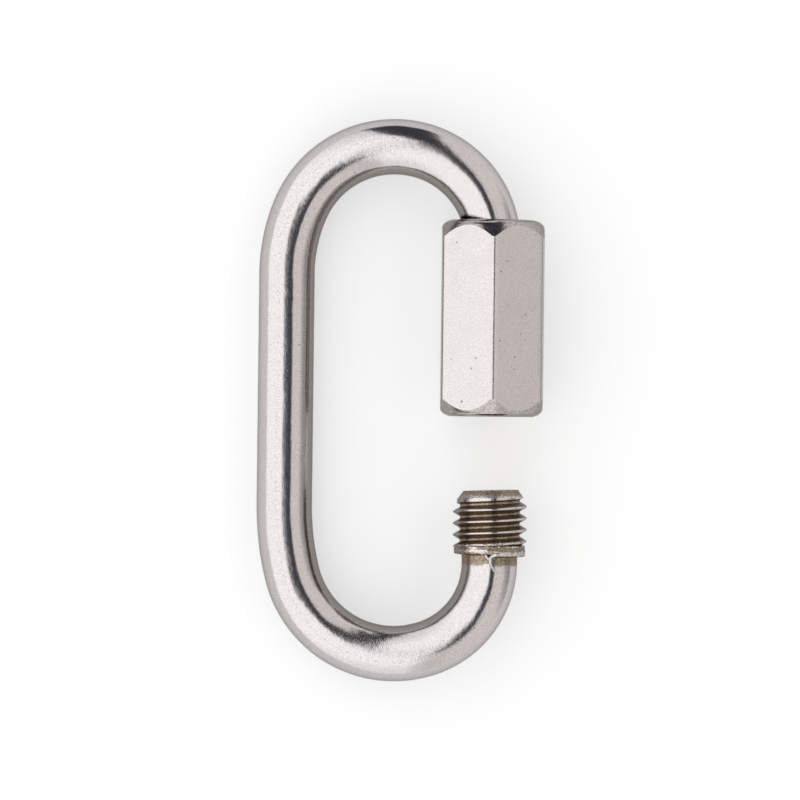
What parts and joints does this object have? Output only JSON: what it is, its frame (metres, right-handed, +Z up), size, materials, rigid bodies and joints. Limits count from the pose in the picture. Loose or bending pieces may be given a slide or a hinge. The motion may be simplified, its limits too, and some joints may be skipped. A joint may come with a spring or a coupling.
{
  "type": "chain quick link",
  "caption": "Open oval link of round steel wire with threaded ends, and a long hexagon nut that screws across the gap to join chain, rope or shackles.",
  "frame": {"origin": "middle of the footprint of the lying link, on the ground", "axes": "+X from the back leg towards the nut, +Y along the link towards the bow that the open nut is run up to, +Z up"},
  "size_m": [0.0308, 0.0606, 0.0126],
  "materials": {
    "link_steel": "tumbled satin stainless steel",
    "nut_steel": "tumbled satin stainless steel"
  },
  "bodies": {
    "link": {"link_body": "link_steel"},
    "nut": {"sleeve_nut": "nut_steel"}
  },
  "joints": [
    {"name": "nut_run", "type": "slide", "parent": "link", "child": "nut", "axis": [0, -1, 0], "range_m": [0, 0.01375]}
  ]
}
